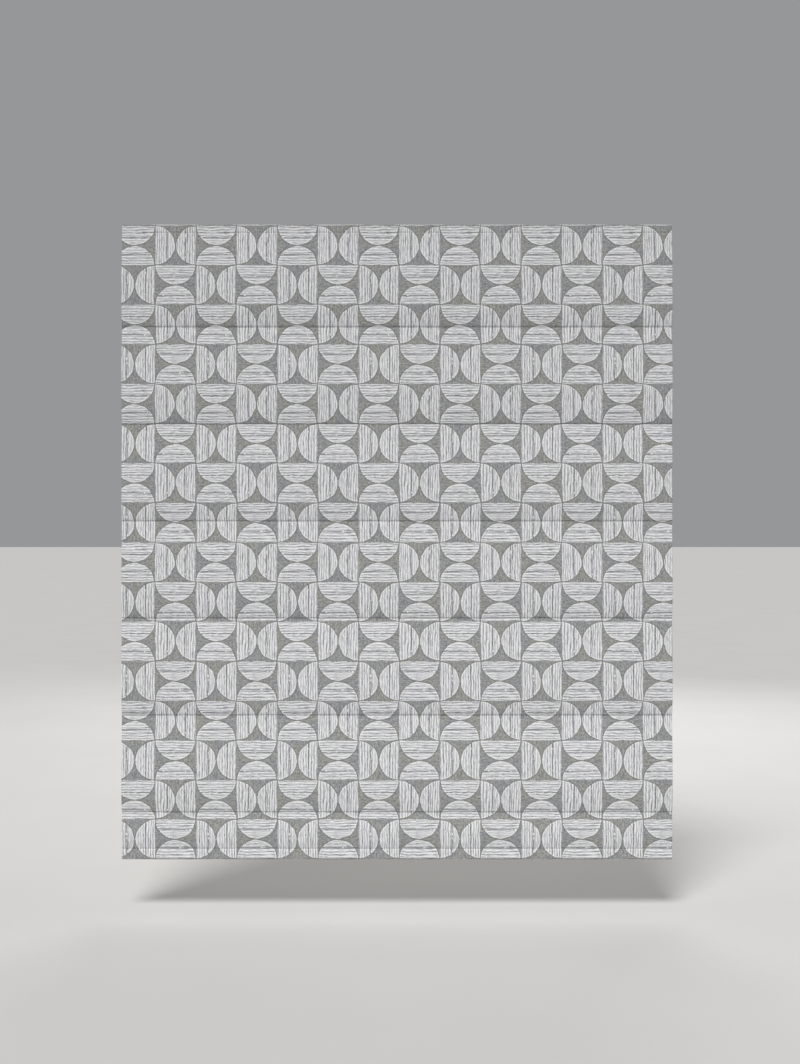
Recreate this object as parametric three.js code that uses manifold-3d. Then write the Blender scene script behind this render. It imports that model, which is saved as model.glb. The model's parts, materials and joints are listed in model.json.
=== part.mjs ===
// Lined Roman blind with a cordless spring lift. Millimetres, +Z up, +X to the right, the room at -Y.
// The origin is the top face of the middle bracket, where the blind is screwed to the head of the window.
import * as THREE from 'three';
import { mergeVertices } from 'three/addons/utils/BufferGeometryUtils.js';
import Module from 'manifold-3d';

const wasm = await Module();
wasm.setup();

// ---------- driving dimensions ----------
const gap = 0.3; // left between two pieces that touch

const clothWidth = 1100;
const clothTop = -1;
const faceThickness = 1.2;
const liningThickness = 0.8;
const liningInset = 12; // how far the lining stops inside each side edge
const foldStart = -33; // the cloth is free of the headrail from here down
const firstSeam = -206;
const seamPitch = 194;
const seamCount = 6;
const flapDrop = 95; // from the last seam to the bottom edge
const restTilt = THREE.MathUtils.degToRad(3); // how far each leaf leans into the room when the blind is down

const railDepth = 40;
const railHeight = 28;
const railWall = 1.2;
const railLip = 6;
const railSpan = 1094; // headrail with both end caps
const capPlate = 2.5;
const capPlug = 8;
const capBearing = 4.5; // radius of the hole that the shaft turns in

const bracketWidth = 30;
const bracketPlate = 2;
const bracketX = { left: -450, middle: 0, right: 450 };
const bracketEdge = 3; // how far the plate reaches past the lips of the rail
const bracketLeg = 2;
const bracketFoot = 3.5; // how far each foot hooks under its lip
const footThickness = 1.6;
const screwRadius = 2.3;
const screwOffset = 9;

const cordX = { left: -400, middle: 0, right: 400 };
const cordRadius = 0.7;
const spoolRadius = 7;
const spoolLength = 36;
const flangeRadius = 8.5;
const flangeThickness = 1.5;
const hubRadius = 5;
const axleLength = 4;
const shaftSide = 6;
const shaftLength = 1080;
const shaftZ = -18;

const cradleWall = 2;
const cradleLength = 52;
const cradleY = [-16, 14];
const cradleHead = 3; // above the hubs
const cradleFoot = { front: 11, back: 17 }; // reach of each end wall from the shaft, at its foot
const cradleShoulder = { front: 8, back: 11 };
const nozzleLip = 2; // the cord's nozzle stands this far above and below the floor of the rail

const tapeLength = 1086;
const tapeHeight = 18;
const tapeThickness = 1.2;
const tapeTop = -3;

const rodRadius = 2;
const rodLength = 1066;
const pocketWall = 1;
const pocketHeight = 16;
const pocketShoulder = { y: 2.5, z: 2 }; // where the tube leaves its sewn edges
const pocketCrown = { corner: 3.2, flat: 1.4 }; // half heights of the back of the tube
const loopHole = 2;
const loopRadius = 3.4;
const loopHeight = 3;

const hemHeight = 22;
const hemCorner = 2;
const barHeight = 18;
const barThickness = 3;
const barLength = 1090;

const motorX = 180; // middle of the spring motor
const motorLength = 46;
const motorY = [-15.5, 16.5];
const motorTop = -8.5;
const motorWall = 1.6;
const drumLength = 40;
const outputDrumSize = { barrel: 6.5, flange: 8 };
const storageDrumSize = { barrel: 4, flange: 5, axle: 2 };
const storageY = 9.5;

const roundSides = 24;
const holeSides = 20;
const smallSides = 12;
const cordSides = 8;

// ---------- derived places ----------
const clothDepth = faceThickness + gap + liningThickness;
const liningWidth = clothWidth - 2 * liningInset;
const railTop = -bracketPlate - gap;
const railBottom = railTop - railHeight;
const railFloor = railBottom + railWall;
const tapeBack = -railDepth / 2 - gap;
const clothBack = tapeBack - tapeThickness - gap;
const clothFront = clothBack - clothDepth;
const pocketDepth = 2 * (pocketWall + rodRadius + gap);
const pocketFront = clothDepth + gap;
const rodY = pocketFront + pocketDepth / 2;
const rodZ = -pocketHeight / 2;
const loopY = pocketFront + pocketDepth + loopHole;
const cordY = clothFront + loopY;
const shaftY = cordY + spoolRadius + cordRadius + gap;
const seamZ = Array.from({ length: seamCount }, (unused, i) => firstSeam - i * seamPitch);

// ---------- materials ----------
function material(color, roughness, metalness = 0) {
  return new THREE.MeshStandardMaterial({ color, roughness, metalness, flatShading: true });
}
const printedCloth = material('#b4b4b2', 0.9);
const liningCloth = material('#ece7dc', 0.92);
const whiteTape = material('#e8e8e4', 0.95);
const cordWhite = material('#f1efe8', 0.8);
const aluminium = material('#d9dadb', 0.4, 0.9);
const whitePaint = material('#f0efec', 0.45, 0.1);
const zincSteel = material('#b9bcc0', 0.35, 0.9);
const whitePlastic = material('#f3f2ee', 0.5);
const greyPlastic = material('#8f9398', 0.5);
const glassFibre = material('#dfe3d8', 0.35);

// ---------- shape helpers ----------
const acrossX = new THREE.Matrix4().makeBasis(
  new THREE.Vector3(0, 1, 0),
  new THREE.Vector3(0, 0, 1),
  new THREE.Vector3(1, 0, 0),
);

// A flat outline given as [y, z] points.
function outline(points) {
  return new THREE.Shape(points.map(([y, z]) => new THREE.Vector2(y, z)));
}

// The outline pulled along X, centred on x.
function alongX(shape, length, x = 0) {
  const geometry = new THREE.ExtrudeGeometry(shape, { depth: length, bevelEnabled: false, curveSegments: 8 });
  return geometry.translate(0, 0, -length / 2).applyMatrix4(acrossX).translate(x, 0, 0);
}

function block([x0, x1], [y0, y1], [z0, z1]) {
  const geometry = new THREE.BoxGeometry(x1 - x0, y1 - y0, z1 - z0);
  return geometry.translate((x0 + x1) / 2, (y0 + y1) / 2, (z0 + z1) / 2);
}

function cylinderX(radius, length, x, y, z, sides = roundSides) {
  const geometry = new THREE.CylinderGeometry(radius, radius, length, sides);
  return geometry.rotateZ(Math.PI / 2).translate(x, y, z);
}

function cylinderZ(radius, length, x, y, z, sides = holeSides) {
  const geometry = new THREE.CylinderGeometry(radius, radius, length, sides);
  return geometry.rotateX(Math.PI / 2).translate(x, y, z);
}

function solid(geometry) {
  const bare = geometry.clone();
  bare.deleteAttribute('normal');
  bare.deleteAttribute('uv');
  const merged = mergeVertices(bare);
  const mesh = new wasm.Mesh({
    numProp: 3,
    vertProperties: merged.attributes.position.array,
    triVerts: new Uint32Array(merged.index.array),
  });
  return new wasm.Manifold(mesh);
}

function joined(geometries) {
  return geometries.map(solid).reduce((whole, next) => whole.add(next));
}

// The joined solids with every cut taken out.
function carved(solids, cuts) {
  const mesh = cuts.map(solid).reduce((whole, next) => whole.subtract(next), joined(solids)).getMesh();
  const geometry = new THREE.BufferGeometry();
  geometry.setAttribute('position', new THREE.BufferAttribute(new Float32Array(mesh.vertProperties), 3));
  geometry.setIndex(new THREE.BufferAttribute(new Uint32Array(mesh.triVerts), 1));
  return geometry;
}

const blind = new THREE.Group();

function place(name, geometry, itsMaterial, parent = blind) {
  const mesh = new THREE.Mesh(geometry, itsMaterial);
  mesh.name = name;
  parent.add(mesh);
}

// ---------- headrail ----------
// A channel that is open at the top, with its lips turned in for the brackets.
function railProfile() {
  const outer = railDepth / 2;
  const inner = outer - railWall;
  const lip = outer - railLip;
  const half = [
    [outer, railBottom],
    [outer, railTop],
    [lip, railTop],
    [lip, railTop - railWall],
    [inner, railTop - railWall],
    [inner, railFloor],
  ];
  const mirrored = half.map(([y, z]) => [-y, z]).reverse();
  return outline([...half, ...mirrored]);
}

function headrail() {
  const length = railSpan - 2 * (capPlate + gap);
  const exitRadius = loopRadius + gap;
  const exits = Object.values(cordX).map((x) => cylinderZ(exitRadius, 4 * railWall, x, cordY, railBottom));
  return carved([alongX(railProfile(), length)], exits);
}

function endCap(side) {
  const outer = railDepth / 2;
  const inner = outer - railWall - gap;
  const plateX = side * (railSpan - capPlate) / 2;
  const plugX = side * (railSpan / 2 - capPlate - capPlug / 2);
  const plate = outline([
    [-outer, railBottom],
    [outer, railBottom],
    [outer, railTop],
    [-outer, railTop],
  ]);
  const plug = outline([
    [-inner, railFloor + gap],
    [inner, railFloor + gap],
    [inner, railTop - railWall - gap],
    [-inner, railTop - railWall - gap],
  ]);
  const bearing = cylinderX(capBearing, capPlug, plugX, shaftY, shaftZ);
  return carved([alongX(plate, capPlate, plateX), alongX(plug, capPlug, plugX)], [bearing]);
}

// A clip whose two feet hook under the lips of the rail.
function bracket(x) {
  const lip = railDepth / 2 - railLip;
  const legOuter = lip - gap;
  const legInner = legOuter - bracketLeg;
  const footOuter = lip + bracketFoot;
  const footTop = railTop - railWall - gap;
  const footBottom = footTop - footThickness;
  const plateEdge = lip + bracketEdge;
  const half = [
    [plateEdge, 0],
    [plateEdge, -bracketPlate],
    [legOuter, -bracketPlate],
    [legOuter, footTop],
    [footOuter, footTop],
    [footOuter, footBottom],
    [legInner, footBottom],
    [legInner, -bracketPlate],
  ];
  const mirrored = half.map(([y, z]) => [-y, z]).reverse();
  const holeX = [x - screwOffset, x + screwOffset];
  const holes = holeX.map((middle) => cylinderZ(screwRadius, 3 * bracketPlate, middle, 0, 0));
  return carved([alongX(outline([...half, ...mirrored]), bracketWidth, x)], holes);
}

// ---------- lift ----------
// A base that lies in the rail, with a wall at each end of the spool and a nozzle for the cord.
function cradle(x) {
  const base = [railFloor + gap, railFloor + gap + cradleWall];
  const top = shaftZ + hubRadius + cradleHead;
  const wallX = (spoolLength + cradleWall) / 2 + gap;
  const wall = outline([
    [shaftY - cradleFoot.front, base[0]],
    [shaftY + cradleFoot.back, base[0]],
    [shaftY + cradleShoulder.back, top],
    [shaftY - cradleShoulder.front, top],
    [shaftY - cradleFoot.front, shaftZ + cradleWall],
  ]);
  const solids = [
    block([x - cradleLength / 2, x + cradleLength / 2], cradleY, base),
    alongX(wall, cradleWall, x - wallX),
    alongX(wall, cradleWall, x + wallX),
    cylinderZ(loopRadius, railWall + 2 * nozzleLip, x, cordY, railFloor - railWall / 2),
  ];
  const cuts = [
    cylinderX(hubRadius + gap, 2 * spoolLength, x, shaftY, shaftZ),
    cylinderZ(loopHole, railHeight, x, cordY, railFloor),
  ];
  return carved(solids, cuts);
}

// A body of revolution about X, from [radius, x] points.
function turned(points, x, y) {
  const profile = points.map(([r, along]) => new THREE.Vector2(r, along));
  const geometry = new THREE.LatheGeometry(profile, roundSides).rotateZ(-Math.PI / 2);
  return geometry.translate(x, y, shaftZ);
}

// A barrel between two flanges, with an axle at each end.
function drumProfile(barrel, flange, length, axle) {
  const end = length / 2;
  const half = [
    [barrel, end - flangeThickness],
    [flange, end - flangeThickness],
    [flange, end],
    [axle, end],
    [axle, end + axleLength],
    [0, end + axleLength],
  ];
  const mirrored = half.map(([r, along]) => [r, -along]).reverse();
  return [...mirrored, ...half];
}

// The square hole that the shaft drives.
function shaftHole(length, x) {
  const side = shaftSide / 2 + gap;
  return block([x - length, x + length], [shaftY - side, shaftY + side], [shaftZ - side, shaftZ + side]);
}

function spool(x) {
  const body = turned(drumProfile(spoolRadius, flangeRadius, spoolLength, hubRadius), x, shaftY);
  return carved([body], [shaftHole(spoolLength, x)]);
}

// A box that is open at the top, with the shaft and the storage drum's axle through its end walls.
function motorCase() {
  const x = [motorX - motorLength / 2, motorX + motorLength / 2];
  const z = [railFloor + gap, motorTop];
  const inside = block(
    [x[0] + motorWall, x[1] - motorWall],
    [motorY[0] + motorWall, motorY[1] - motorWall],
    [z[0] + motorWall, z[1] + motorWall],
  );
  const holes = [
    cylinderX(hubRadius + gap, 2 * motorLength, motorX, shaftY, shaftZ),
    cylinderX(storageDrumSize.axle + gap, 2 * motorLength, motorX, storageY, shaftZ),
  ];
  return carved([block(x, motorY, z)], [inside, ...holes]);
}

function outputDrum() {
  const { barrel, flange } = outputDrumSize;
  const body = turned(drumProfile(barrel, flange, drumLength, hubRadius), motorX, shaftY);
  return carved([body], [shaftHole(drumLength, motorX)]);
}

function storageDrum() {
  const { barrel, flange, axle } = storageDrumSize;
  return turned(drumProfile(barrel, flange, drumLength, axle), motorX, storageY);
}

function liftCord(x) {
  const bottom = seamZ[seamCount - 1] + rodZ - loopHeight / 2;
  return cylinderZ(cordRadius, shaftZ - bottom, x, cordY, (shaftZ + bottom) / 2, cordSides);
}

// ---------- cloth ----------
// Each leaf is drawn hanging straight, front face at y = 0, from its seam at z = 0 towards direction * Z.
function leafPiece(width, [y0, y1], length, direction) {
  const ends = [direction * (gap / 2), direction * (length - gap / 2)];
  return block([-width / 2, width / 2], [y0, y1], [Math.min(...ends), Math.max(...ends)]);
}

function leaf(name, seam, length, direction) {
  const hinge = new THREE.Group();
  hinge.position.set(0, clothFront, seam);
  hinge.rotation.x = direction * restTilt;
  blind.add(hinge);
  const lining = [faceThickness + gap, clothDepth];
  place(`face_${name}`, leafPiece(clothWidth, [0, faceThickness], length, direction), printedCloth, hinge);
  place(`lining_${name}`, leafPiece(liningWidth, lining, length, direction), liningCloth, hinge);
}

// The leaf length that makes a pair of leaves span the pitch at the rest tilt.
function leafLength(pitch) {
  return (pitch / 2 - clothDepth * Math.sin(restTilt)) / Math.cos(restTilt);
}

// A flattened tube of lining cloth around the rod, with a ring for each lift cord.
function rodPocket() {
  const back = pocketFront + pocketDepth;
  const half = [
    [pocketFront, -rodZ],
    [pocketFront + pocketWall, -rodZ],
    [pocketFront + pocketShoulder.y, -rodZ - pocketShoulder.z],
    [back - pocketWall, pocketCrown.corner],
    [back, pocketCrown.flat],
  ];
  const mirrored = half.map(([y, z]) => [y, -z]).reverse();
  const shape = outline([...half, ...mirrored].map(([y, z]) => [y, rodZ + z]));
  const bore = cylinderX(rodRadius + gap, clothWidth, 0, rodY, rodZ, smallSides);
  const rings = Object.values(cordX).map((x) => cylinderZ(loopRadius, loopHeight, x, loopY, rodZ));
  const holes = Object.values(cordX).map((x) => cylinderZ(loopHole, 2 * loopHeight, x, loopY, rodZ));
  return carved([alongX(shape, liningWidth - 2 * gap), ...rings], [bore, ...holes]);
}

// The face cloth below the last seam, turned up at the back around the bottom bar.
function flapFace() {
  const front = faceThickness + gap + barThickness + gap;
  const back = front + faceThickness;
  const shape = outline([
    [0, -gap / 2],
    [0, hemCorner - flapDrop],
    [hemCorner, -flapDrop],
    [back - hemCorner, -flapDrop],
    [back, hemCorner - flapDrop],
    [back, hemHeight - flapDrop],
    [front, hemHeight - flapDrop],
    [front, faceThickness - flapDrop],
    [faceThickness, faceThickness - flapDrop],
    [faceThickness, -gap / 2],
  ]);
  return alongX(shape, clothWidth);
}

for (const side of ['left', 'middle', 'right']) {
  place(`bracket_${side}`, bracket(bracketX[side]), zincSteel);
  place(`cradle_${side}`, cradle(cordX[side]), whitePlastic);
  place(`spool_${side}`, spool(cordX[side]), greyPlastic);
  place(`lift_cord_${side}`, liftCord(cordX[side]), cordWhite);
}
place('headrail', headrail(), whitePaint);
place('end_cap_left', endCap(-1), whitePlastic);
place('end_cap_right', endCap(1), whitePlastic);
place('motor_case', motorCase(), greyPlastic);
place('motor_output_drum', outputDrum(), zincSteel);
place('motor_storage_drum', storageDrum(), zincSteel);

const halfShaft = shaftSide / 2;
const shaftBox = block(
  [-shaftLength / 2, shaftLength / 2],
  [shaftY - halfShaft, shaftY + halfShaft],
  [shaftZ - halfShaft, shaftZ + halfShaft],
);
place('drive_shaft', shaftBox, zincSteel);

const tapeBox = block(
  [-tapeLength / 2, tapeLength / 2],
  [tapeBack - tapeThickness, tapeBack],
  [tapeTop - tapeHeight, tapeTop],
);
place('hook_tape', tapeBox, whiteTape);

const headerBox = block(
  [-clothWidth / 2, clothWidth / 2],
  [clothFront, clothBack],
  [foldStart + gap / 2, clothTop],
);
place('header_cloth', headerBox, printedCloth);

seamZ.forEach((seam, i) => {
  const above = i === 0 ? foldStart : seamZ[i - 1];
  const length = leafLength(above - seam);
  leaf(`upper_${i + 1}`, above, length, -1);
  leaf(`lower_${i + 1}`, seam, length, 1);

  const batten = new THREE.Group();
  batten.position.set(0, clothFront, seam);
  blind.add(batten);
  place(`rod_pocket_${i + 1}`, rodPocket(), liningCloth, batten);
  place(`rod_${i + 1}`, cylinderX(rodRadius, rodLength, 0, rodY, rodZ, smallSides), glassFibre, batten);
});

const flap = new THREE.Group();
flap.position.set(0, clothFront, seamZ[seamCount - 1]);
blind.add(flap);
const barBottom = faceThickness + gap - flapDrop;
const barBox = block(
  [-barLength / 2, barLength / 2],
  [faceThickness + gap, faceThickness + gap + barThickness],
  [barBottom, barBottom + barHeight],
);
const flapLining = block(
  [-liningWidth / 2, liningWidth / 2],
  [faceThickness + gap, clothDepth],
  [barBottom + barHeight + gap, -gap / 2],
);
place('face_flap', flapFace(), printedCloth, flap);
place('lining_flap', flapLining, liningCloth, flap);
place('bottom_bar', barBox, aluminium, flap);

export default blind;
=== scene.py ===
import json
import math

import bmesh
import bpy
import numpy as np
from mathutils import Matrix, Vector


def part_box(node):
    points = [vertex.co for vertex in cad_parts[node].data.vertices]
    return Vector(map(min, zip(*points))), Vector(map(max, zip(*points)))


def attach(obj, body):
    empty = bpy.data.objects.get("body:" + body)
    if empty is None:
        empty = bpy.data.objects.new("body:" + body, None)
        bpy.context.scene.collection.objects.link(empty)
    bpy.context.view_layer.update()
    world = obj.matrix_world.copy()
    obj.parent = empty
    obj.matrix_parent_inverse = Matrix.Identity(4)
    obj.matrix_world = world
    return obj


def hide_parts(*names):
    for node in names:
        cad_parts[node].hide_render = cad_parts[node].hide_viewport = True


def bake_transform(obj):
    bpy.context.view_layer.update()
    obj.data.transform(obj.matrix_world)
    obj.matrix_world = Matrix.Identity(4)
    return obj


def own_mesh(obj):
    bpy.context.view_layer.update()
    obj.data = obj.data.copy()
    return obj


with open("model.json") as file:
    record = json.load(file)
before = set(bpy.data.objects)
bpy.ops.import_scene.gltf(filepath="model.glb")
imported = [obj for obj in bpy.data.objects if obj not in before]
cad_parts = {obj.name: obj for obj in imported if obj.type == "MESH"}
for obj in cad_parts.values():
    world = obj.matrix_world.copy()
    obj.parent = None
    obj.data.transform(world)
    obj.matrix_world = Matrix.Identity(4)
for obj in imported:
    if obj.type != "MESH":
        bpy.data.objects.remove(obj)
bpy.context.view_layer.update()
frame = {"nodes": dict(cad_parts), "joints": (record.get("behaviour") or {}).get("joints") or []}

MM = 0.001

# ---------- places read from the frame ----------
JOINTS = {joint["name"]: joint for joint in frame["joints"]}
BANDS = range(1, 7)
SIDES = ("left", "middle", "right")


def hinge(name):
    """A joint's point, in metres."""
    return Vector(JOINTS[name]["pos_m"])


def middle_of(node):
    return [(low + high) / 2 for low, high in zip(*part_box(node))]


def extent(node):
    return [high - low for low, high in zip(*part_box(node))]


CLOTH_FRONT = hinge("fold_1_top").y
CLOTH_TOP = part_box("header_cloth")[1].z
CLOTH_WIDTH = extent("header_cloth")[0]
CLOTH_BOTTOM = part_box("face_flap")[0].z
LINING_WIDTH = extent("lining_upper_1")[0]
FOLD_START = hinge("fold_1_top").z
SEAMS = {band: hinge(f"fold_{band}_rod").z for band in BANDS}
CREASES = {band: hinge(f"fold_{band}_crease").z for band in BANDS}
CORD_X = {side: middle_of(f"lift_cord_{side}")[0] for side in SIDES}
CORD_Y = middle_of("lift_cord_middle")[1]
SHAFT = hinge("shaft_turn")

# ---------- cloth make-up ----------
HEADER_STITCH = CLOTH_TOP - 16 * MM
CLOTH_THICKNESS = 0.45 * MM
HEM_TURN = 25 * MM  # cloth turned to the back along each side
HEM_RADIUS = 0.55 * MM
LINING_DEPTH = 1.9 * MM  # from the front of the face cloth to the back of the lining
LINING_THICKNESS = 0.3 * MM
LINING_TURN = 10 * MM
LINING_RADIUS = 0.33 * MM
COLUMN_STEP = 9 * MM
FINE_ROW = 0.45 * MM
COARSE_ROW = 6 * MM
ROW_GROWTH = 1.35
FOLD_REACH = 10 * MM  # how far a bend at a seam or crease would spread along the cloth; the stretches carry this reach, but nothing here bends them

BELLY_DEPTH = 4.2 * MM  # how far the cloth stands out between two seams
BELLY_REACH = 125 * MM  # from the upper seam to where it is fullest
BELLY_POWER = 1.25
TUCK_REACH = 54 * MM  # the stretch above the lower seam that leans back in
TUCK_POWER = 2.6
LIP_DEPTH = 1.3 * MM  # the last turn in, right at the seam
LIP_HEIGHT = 0.7 * MM
EMERGE_REACH = 26 * MM
GROOVE_DEPTH = 0.6 * MM
GROOVE_WIDTH = 0.9 * MM
SEAM_STIFFNESS = 3 * MM  # nearer than this to a seam, the layers lie flat on each other
PUCKER_DEPTH = 0.22 * MM
PUCKER_REACH = 14 * MM

# ---------- print ----------
CELL_WIDTH = 81.2 * MM
CELL_HEIGHT = 79.1 * MM
FIRST_COLUMN = -483 * MM
FIRST_ROW = -4 * MM
REPEAT_COLUMNS = 2.0
REPEAT_ROWS = 4.0
PRINT_SEED = 4.0
PRINT_WANDER = 2.4 * MM
FLAT_UV = "flat_cloth"


# ---------- node trees ----------
def rgb(code):
    """A linear colour from an sRGB hex code."""
    parts = [int(code[i:i + 2], 16) / 255 for i in (1, 3, 5)]
    linear = [p / 12.92 if p <= 0.04045 else ((p + 0.055) / 1.055) ** 2.4 for p in parts]
    return (*linear, 1.0)


class Nodes:
    """A material's node tree, with short calls for the nodes that the materials share."""

    def __init__(self, name, **sockets):
        self.material = bpy.data.materials.new(name)
        self.material.use_nodes = True
        self.tree = self.material.node_tree
        self.shader = self.tree.nodes["Principled BSDF"]
        for key, value in sockets.items():
            self.feed(self.shader.inputs[key.replace("_", " ")], value)

    def feed(self, socket, value):
        if isinstance(value, str):
            value = rgb(value)
        if isinstance(value, bpy.types.NodeSocket):
            self.tree.links.new(value, socket)
        else:
            socket.default_value = value

    def node(self, kind, inputs=(), **settings):
        made = self.tree.nodes.new(kind)
        for key, value in settings.items():
            setattr(made, key, value)
        for key, value in dict(inputs).items():
            self.feed(made.inputs[key], value)
        return made

    def math(self, operation, *values):
        return self.node("ShaderNodeMath", enumerate(values), operation=operation).outputs[0]

    def add(self, a, b):
        return self.math("ADD", a, b)

    def times(self, a, b):
        return self.math("MULTIPLY", a, b)

    def sway(self, noise, size):
        """Turns noise round 0.5 into a shift either way."""
        return self.times(self.add(noise, -0.5), size)

    def inverse(self, value):
        return self.math("SUBTRACT", 1.0, value)

    def vector(self, x, y, z=0.0):
        return self.node("ShaderNodeCombineXYZ", enumerate((x, y, z))).outputs[0]

    def split(self, vector):
        return self.node("ShaderNodeSeparateXYZ", {0: vector}).outputs[:3]

    def stretched(self, vector, *scales):
        return self.vector(*map(self.times, self.split(vector), scales))

    def noise(self, vector, scale=1.0, detail=2.0, dimensions="3D"):
        inputs = {"Vector": vector, "Scale": scale, "Detail": detail}
        return self.node("ShaderNodeTexNoise", inputs, noise_dimensions=dimensions).outputs[0]

    def step(self, value, low, high):
        """0 below low and 1 above high, or the other way round if low is the larger."""
        inputs = {"Value": value, "From Min": low, "From Max": high}
        return self.node("ShaderNodeMapRange", inputs, interpolation_type="SMOOTHSTEP").outputs[0]

    def mix(self, share, a, b):
        return self.node("ShaderNodeMix", {0: share, 6: a, 7: b}, data_type="RGBA").outputs[2]

    def choose(self, share, a, b):
        return self.node("ShaderNodeMix", {0: share, 2: a, 3: b}).outputs[0]

    def coordinates(self):
        return self.node("ShaderNodeTexCoord").outputs["Object"]

    def flat_cloth(self):
        """Where a point lies on its cloth when that is flat, in metres."""
        return self.node("ShaderNodeUVMap", uv_map=FLAT_UV).outputs[0]

    def colour(self, value):
        self.feed(self.shader.inputs["Base Color"], value)

    def rough(self, value):
        self.feed(self.shader.inputs["Roughness"], value)

    def bump(self, height, distance, strength):
        inputs = {"Height": height, "Distance": distance, "Strength": strength}
        self.feed(self.shader.inputs["Normal"], self.node("ShaderNodeBump", inputs).outputs[0])


def threads(g, uv, along=160.0, across=1500.0):
    """Uneven warp and weft, as two crossing fields of stretched noise in metres of cloth."""
    warp = g.noise(g.stretched(uv, across, along), dimensions="2D")
    weft = g.noise(g.stretched(uv, along, across), dimensions="2D")
    return warp, weft


def half_circle(g, uv):
    """Where a point lies in its half circle: along the flat side and away from it, as shares of a cell."""
    u, v, _ = g.split(uv)
    loose_u = g.add(u, g.sway(g.noise(uv, 45.0, dimensions="2D"), PRINT_WANDER))
    loose_v = g.add(v, g.sway(g.noise(g.vector(v, u), 55.0, dimensions="2D"), PRINT_WANDER))
    column = g.math("DIVIDE", g.add(loose_u, -FIRST_COLUMN), CELL_WIDTH)
    row = g.math("DIVIDE", g.math("SUBTRACT", FIRST_ROW, loose_v), CELL_HEIGHT)
    i, j = g.math("FLOOR", column), g.math("FLOOR", row)
    fx = g.add(g.math("FRACT", column), -0.5)
    fy = g.add(g.math("FRACT", row), -0.5)
    upright = g.math("FLOORED_MODULO", g.add(g.add(i, j), 1.0), 2.0)
    along = g.choose(upright, fx, fy)
    across = g.choose(upright, fy, fx)
    depth = g.math("SUBTRACT", 0.5, g.math("ABSOLUTE", across))
    repeat_i = g.math("FLOORED_MODULO", i, REPEAT_COLUMNS)
    repeat_j = g.math("FLOORED_MODULO", j, REPEAT_ROWS)
    place = g.vector(g.add(repeat_i, PRINT_SEED), repeat_j, g.math("SIGN", across))
    seeds = g.node("ShaderNodeTexWhiteNoise", {"Vector": place}, noise_dimensions="3D")
    return along, depth, g.split(seeds.outputs["Color"])


def hatching(g, depth, seeds, streak):
    """A band of close lines by the flat side, then one strong line, then a few dashes, and bright strokes."""
    seed, seed_b, seed_c = seeds
    line_at = g.add(0.23, g.times(seed_b, 0.08))
    drift = g.sway(streak(1.6, 5.0, 1.0), 0.9)
    pitch = g.add(0.056, g.times(seed_c, 0.014))
    phase = g.add(g.add(g.math("DIVIDE", depth, pitch), drift), seed)
    ridge = g.times(g.math("PINGPONG", phase, 0.5), 2.0)
    weight = g.times(streak(3.0, 14.0, 3.0), 0.9)
    thin = g.step(g.add(ridge, weight), 1.24, 1.36)
    gaps = g.step(streak(17.0, 38.0, 26.0), 0.30, 0.42)
    unbroken = g.times(g.step(streak(4.0, 34.0, 5.0), 0.26, 0.36), gaps)
    dashes = g.step(streak(7.0, 36.0, 8.0), 0.52, 0.60)
    near_flat = g.step(depth, g.add(line_at, 0.02), g.add(line_at, -0.02))
    hatch = g.times(thin, g.choose(near_flat, dashes, unbroken))
    waver = g.sway(streak(3.0, 1.0, 12.0), 0.020)
    off_line = g.math("ABSOLUTE", g.add(g.math("SUBTRACT", depth, line_at), waver))
    strong = g.times(g.step(off_line, 0.014, 0.006), g.step(streak(13.0, 5.0, 14.0), 0.30, 0.40))
    dark = g.math("MAXIMUM", g.times(hatch, 0.85), strong)
    gleam = g.times(g.step(ridge, 0.50, 0.20), g.step(streak(7.0, 40.0, 21.0), 0.38, 0.52))
    return dark, gleam


def outline(g, along, depth, streak):
    """The half circle's shape, its pale rim, and the ground's dark fringe round its arc."""
    radius = g.math("SQRT", g.add(g.times(along, along), g.times(depth, depth)))
    uneven = g.sway(streak(3.2, 3.2, 50.0), 0.060)
    rough = g.sway(streak(26.0, 26.0, 30.0, 3.0), 0.026)
    ragged = g.add(rough, g.math("MAXIMUM", uneven, 0.0))
    reach = g.add(radius, ragged)
    flat_side = g.step(g.math("SUBTRACT", depth, ragged), 0.001, 0.009)
    inside = g.times(g.step(reach, 0.490, 0.478), flat_side)
    rim = g.step(reach, 0.452, 0.470)
    fringe = g.times(g.step(reach, 0.53, 0.50), g.inverse(inside))
    return inside, rim, fringe


def print_ink(g, uv, streak, dark, gleam, rim):
    brushed = streak(4.0, 75.0, 40.0, 3.0)
    ink = g.mix(g.step(brushed, 0.3, 0.7), "#b8b8ba", "#d4d4d4")
    tint = g.noise(uv, 9.0, 3.0, "2D")
    ink = g.mix(g.times(g.step(tint, 0.45, 0.65), 0.5), ink, "#cecdd3")
    ink = g.mix(g.times(gleam, 0.90), ink, "#f8f8f6")
    ink = g.mix(g.times(rim, 0.65), ink, "#f0f0ed")
    return g.mix(g.times(dark, 0.95), ink, "#57585b")


def print_ground(g, uv, streak, fringe):
    blotch = g.noise(uv, 22.0, 3.0, "2D")
    ground = g.mix(g.step(blotch, 0.38, 0.62), "#8c8d8f", "#939189")
    speckle = g.noise(uv, 260.0, 3.0, "2D")
    ground = g.mix(g.times(g.step(speckle, 0.52, 0.35), 0.80), ground, "#6c6d6f")
    ground = g.mix(g.times(g.step(speckle, 0.54, 0.74), 0.60), ground, "#b8b8b4")
    wiped = streak(6.0, 44.0, 61.0)
    ground = g.mix(g.times(g.step(wiped, 0.52, 0.66), 0.45), ground, "#b0b0ad")
    ground = g.mix(g.times(g.step(wiped, 0.47, 0.35), 0.45), ground, "#6e6f70")
    return g.mix(g.times(fringe, 0.45), ground, "#666866")


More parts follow.
